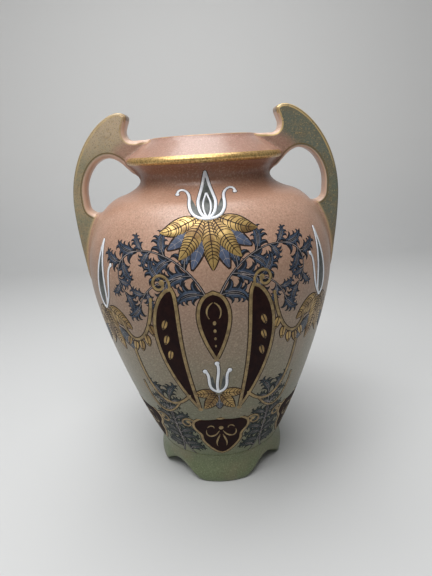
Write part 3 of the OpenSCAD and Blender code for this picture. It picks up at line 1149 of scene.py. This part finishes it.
def enamel(name, colour, worn, roughness, metallic=0.0, coat=0.3, shine=0.5, grain=160.0, low=None,
           turn=(0.18, 0.12), low_share=1.0):
    """A painted or gilded finish, uneven as laid on by hand; it may turn to another tone lower down."""
    made, t, shader = material(name)
    where = t.add("TexCoord").outputs["Object"]
    patch = t.noise(where, grain, 3.0, 0.6)
    speck = t.step(t.noise(where, 1100.0, 2.0, 0.6), 0.5, 0.72)
    shade = t.mix(t.step(patch, 0.35, 0.7), colour, worn)
    shade = t.tint(shade, speck, 0.35, worn)
    if low:
        height = t.add("SeparateXYZ", {0: where}).outputs[2]
        shade = t.tint(shade, t.step(height, *turn), low_share, low)
    t.feed(shader, {
        "Base Color": shade,
        "Roughness": t.plus(roughness, t.times(patch, 0.2)),
        "Normal": t.bump(0.3, 0.0001, patch),
        "Metallic": metallic, "Specular IOR Level": shine, "Coat Weight": coat, "Coat Roughness": 0.2,
    })
    return made


slate = enamel("slate enamel", rgb(22, 24, 29), rgb(34, 38, 45), 0.45, 0.0, 0.0, 0.2, low=rgb(16, 18, 17))
slate_light = enamel("pale slate enamel", rgb(72, 84, 102), rgb(48, 58, 74), 0.45, 0.0, 0.0, 0.2,
                     low=rgb(48, 58, 58))
slate_deep = enamel("deep slate enamel", rgb(44, 50, 50), rgb(88, 92, 86), 0.35, 0.0, 0.1)
blue_leaf = enamel("periwinkle enamel", rgb(78, 90, 116), rgb(56, 66, 86), 0.4, 0.0, 0.1,
                   low=rgb(54, 63, 72), turn=(0.26, 0.23))
maroon = enamel("maroon enamel", rgb(27, 11, 12), rgb(40, 20, 17), 0.55, 0.0, 0.0, 0.1)
dark_line = enamel("brown outline", rgb(38, 26, 19), rgb(56, 40, 28), 0.5, 0.0, 0.0, 0.2)
gold = enamel("antique gold", rgb(158, 134, 88), rgb(112, 92, 58), 0.4, 0.2, 0.15)
leaf_gold = enamel("leaf gold", rgb(200, 168, 104), rgb(116, 88, 50), 0.26, 0.6, 0.2, grain=64.0,
                   low=rgb(104, 76, 42), turn=(0.26, 0.23), low_share=0.3)
band_gold = enamel("burnished gold", rgb(226, 190, 122), rgb(158, 124, 72), 0.26, 0.7, grain=520.0)
# The gold on the lip is partly gilding and partly a painted highlight along the rim
lip_gold_and_highlight = enamel("rubbed gold", rgb(196, 158, 112), rgb(172, 130, 110), 0.3, 0.2, grain=90.0)
pale_line = enamel("pale line", rgb(156, 146, 142), rgb(118, 114, 118), 0.45, 0.0, 0.0)
white = enamel("white enamel", rgb(238, 240, 243), rgb(214, 219, 227), 0.16)

for family, paint, slot in (
    ("maroon_panels", maroon, "maroon_enamel"),
    ("slate_foliage", slate, "slate_enamel"),
    ("slate_lights", slate_light, "slate_enamel"),
    ("slate_fill", slate_deep, "slate_enamel"),
    ("blue_leaves", blue_leaf, "slate_enamel"),
    ("dark_edges", dark_line, "maroon_enamel"),
    ("gilt_leaves", leaf_gold, "gold_lustre"),
    ("gilt_borders", gold, "gold_lustre"),
    ("leaf_veins", dark_line, "maroon_enamel"),
    ("foliage_veins", pale_line, "white_enamel"),
    ("white_enamel", white, "white_enamel"),
    ("gilt_band", band_gold, "gold_lustre"),
    ("gilt_lip_and_highlight", lip_gold_and_highlight, "gold_lustre"),
):
    ornament[family].data.materials.append(paint)
    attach(ornament[family], "root")

# Every piece of the vessel rides on the one body and stands for its node
for piece, paint, node, slot in (
    (body_shell, body_glaze, "body", "body_glaze"),
    (neck_ring, body_glaze, "neck", "collar_glaze"),
    (mouth_collar, collar_glaze, "rim_collar", "collar_glaze"),
    (handle_right_piece, handle_glaze, "handle_right", "handle_glaze"),
    (handle_left_piece, handle_glaze, "handle_left", "handle_glaze"),
    (footed_base, body_glaze, "foot_base", "base_glaze"),
):
    piece.data.materials.clear()
    piece.data.materials.append(paint)
    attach(piece, "root")
    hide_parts(node)


# Stage: half width, front, where the floor turns up behind the vase, radius of that turn, and top
STAGE_HALF, STAGE_FRONT, STAGE_BACK, STAGE_R, STAGE_TOP = 3500, 3000, 950, 350, 3000


def make_stage():
    """A pale sweep that rises behind the vase."""
    turn = [(STAGE_BACK + STAGE_R * math.sin(a), STAGE_R - STAGE_R * math.cos(a))
            for a in np.linspace(0, math.pi / 2, 16)]
    line = [(-STAGE_FRONT, 0), *turn, (STAGE_BACK + STAGE_R, STAGE_TOP)]
    sweep = loop_piece("backdrop", [(-STAGE_HALF, y, z) for y, z in line], closed=False)
    open_mesh()
    bpy.ops.mesh.extrude_region_move(TRANSFORM_OT_translate={"value": (2 * STAGE_HALF * MM, 0, 0)})
    close_mesh(inside=True)
    smooth(sweep, 60)
    made, t, shader = material("pale cloth")
    height = t.add("SeparateXYZ", {0: t.add("TexCoord").outputs["Object"]}).outputs[2]
    # Paler up the sweep than on the floor: painted light, making up for the shade the upright part gets
    # from the lamps above
    cloth_with_painted_light = t.mix(t.step(height, 0.0, 0.4), rgb(206, 207, 207), rgb(226, 226, 225))
    t.feed(shader, {"Base Color": cloth_with_painted_light, "Roughness": 0.9})
    sweep.data.materials.append(made)


make_stage()


def area_light(name, place, target, size, power):
    data = bpy.data.lights.new(name, "AREA")
    data.shape = "RECTANGLE"
    data.size, data.size_y = size
    data.energy = power
    lamp = new_object(name, data)
    lamp.location = place
    lamp.rotation_euler = (Vector(target) - Vector(place)).to_track_quat("-Z", "Y").to_euler()


area_light("ceiling light", (-0.12, 0.12, 1.35), (0, 0, 0.1), (1.0, 0.8), 10)
area_light("front light", (-0.22, -0.65, 1.5), (0, 0, 0.2), (1.3, 0.7), 16)
area_light("window left", (-1.6, -1.0, 0.9), (0, 0, 0.2), (1.2, 1.2), 2.5)

world = bpy.data.worlds.new("room")
world.use_nodes = True
room_light = world.node_tree.nodes["Background"]
room_light.inputs["Color"].default_value = (1, 1, 1, 1)
room_light.inputs["Strength"].default_value = 0.16
bpy.context.scene.world = world

# Camera: 17.25 degrees down from 48 cm in front of the axis, rolled as the photograph is
CAMERA_PLACE = (0, -0.484, 0.358)
PITCH, YAW, ROLL = 17.25, -0.51, -3.5
lens = bpy.data.cameras.new("camera")
lens.sensor_width = 36
lens.lens = 27.5
lens.clip_start = 0.02
camera = new_object("camera", lens)
camera.matrix_world = (
    Matrix.Translation(CAMERA_PLACE)
    @ Matrix.Rotation(math.radians(YAW), 4, "Z")
    @ Matrix.Rotation(math.radians(90 - PITCH), 4, "X")
    @ Matrix.Rotation(math.radians(ROLL), 4, "Z")
)
bpy.context.scene.camera = camera
bpy.context.scene.view_settings.view_transform = "Standard"
